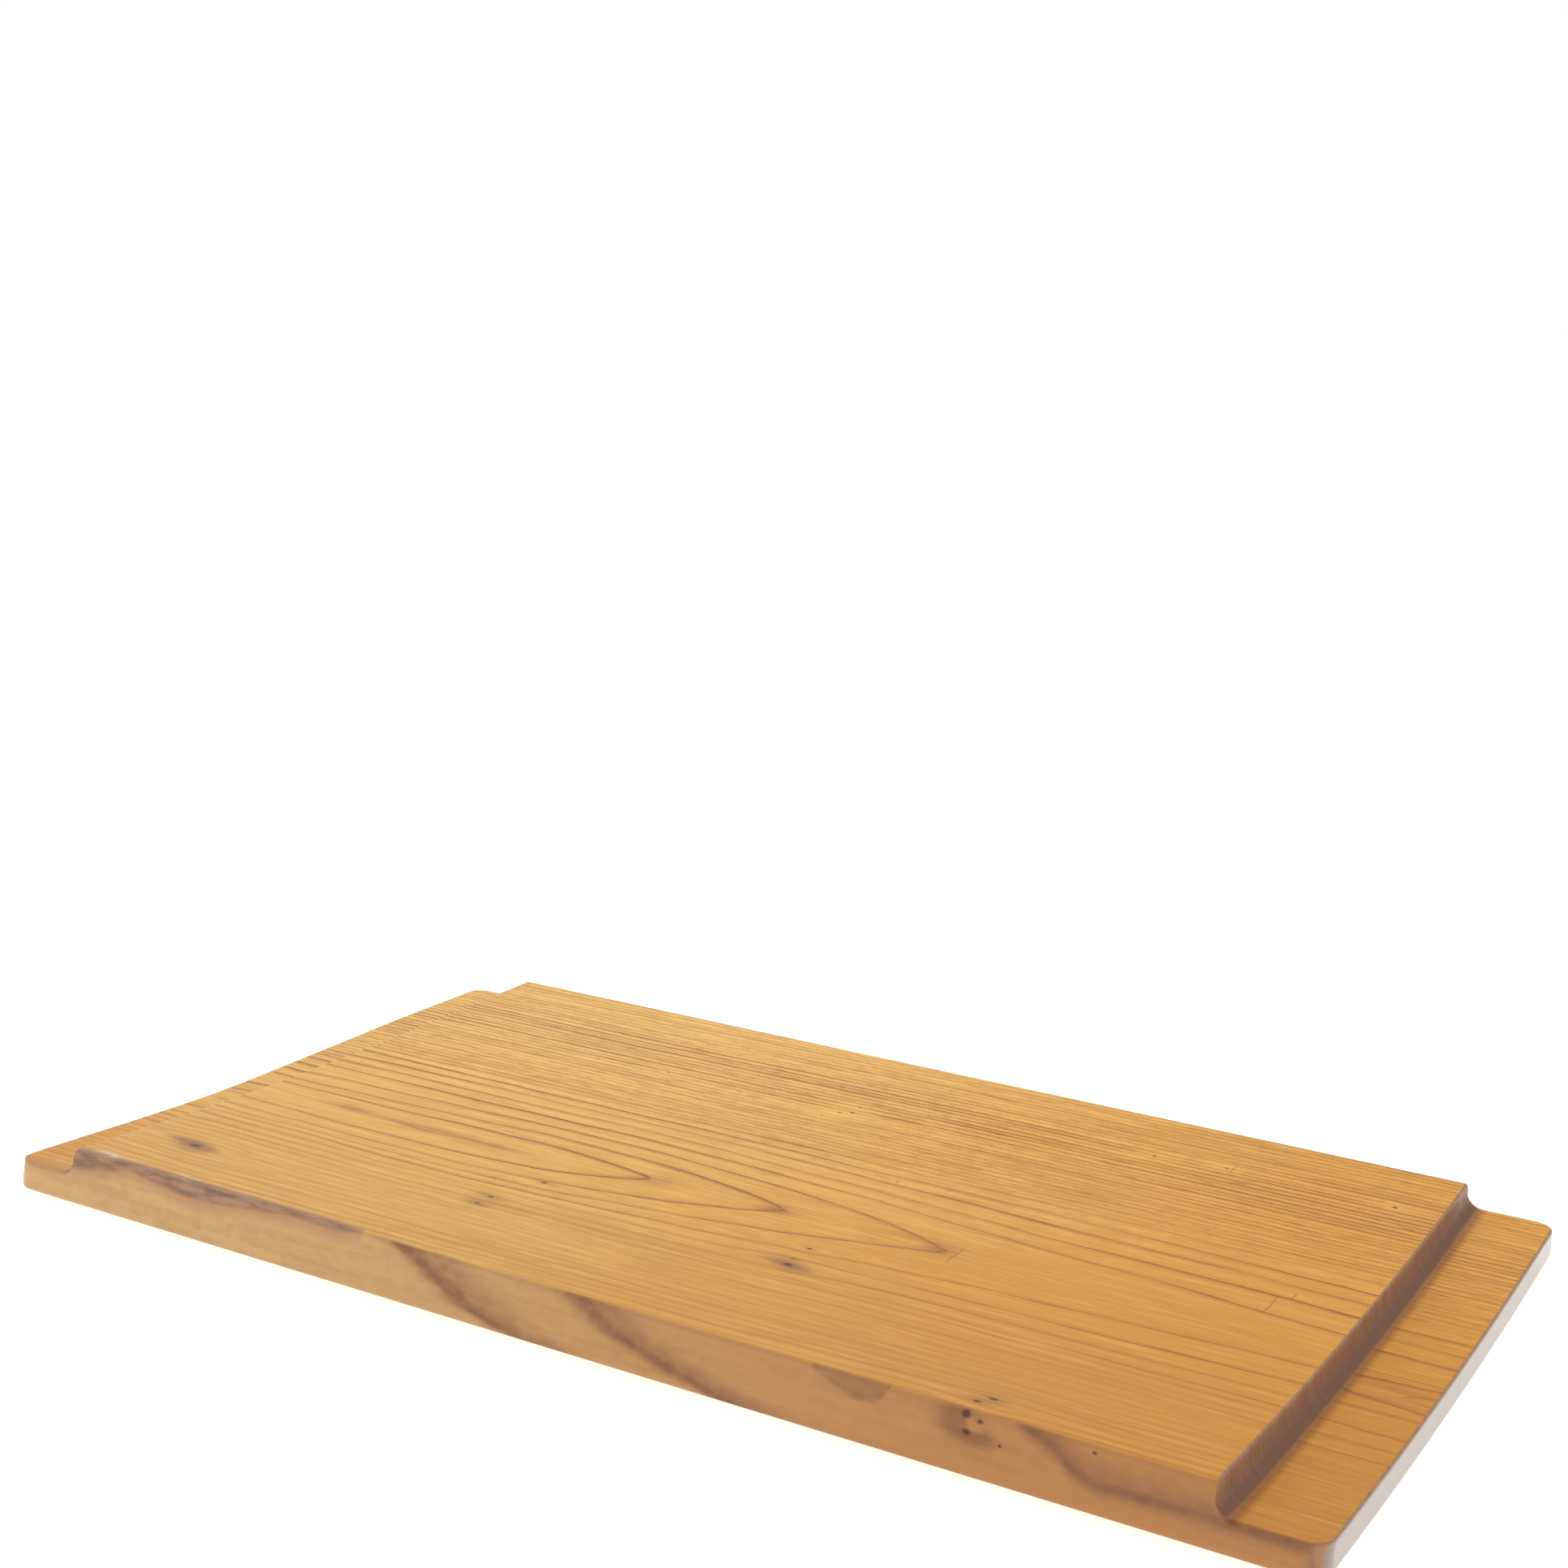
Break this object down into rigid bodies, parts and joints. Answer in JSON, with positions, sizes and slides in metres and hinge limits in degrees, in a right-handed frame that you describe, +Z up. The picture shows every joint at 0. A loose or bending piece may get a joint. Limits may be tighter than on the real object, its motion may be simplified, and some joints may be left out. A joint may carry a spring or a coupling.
{
  "type": "serving tray",
  "caption": "Rectangular solid-wood serving tray with a raised base, thin end handles with finger coves, and a shallow serving recess; shown resting upside down.",
  "frame": {"origin": "middle of the cupped underside, the lowest point of the tray as it rests upside down", "axes": "+X along the grain towards the right handle, +Y across the grain, +Z up, out of the raised base"},
  "size_m": [0.452, 0.25, 0.0215],
  "materials": {
    "lacquered_wood": "ring-porous hardwood, amber stained, satin-gloss clear lacquer"
  },
  "bodies": {
    "root": {"tray_plank": "lacquered_wood"}
  },
  "joints": []
}
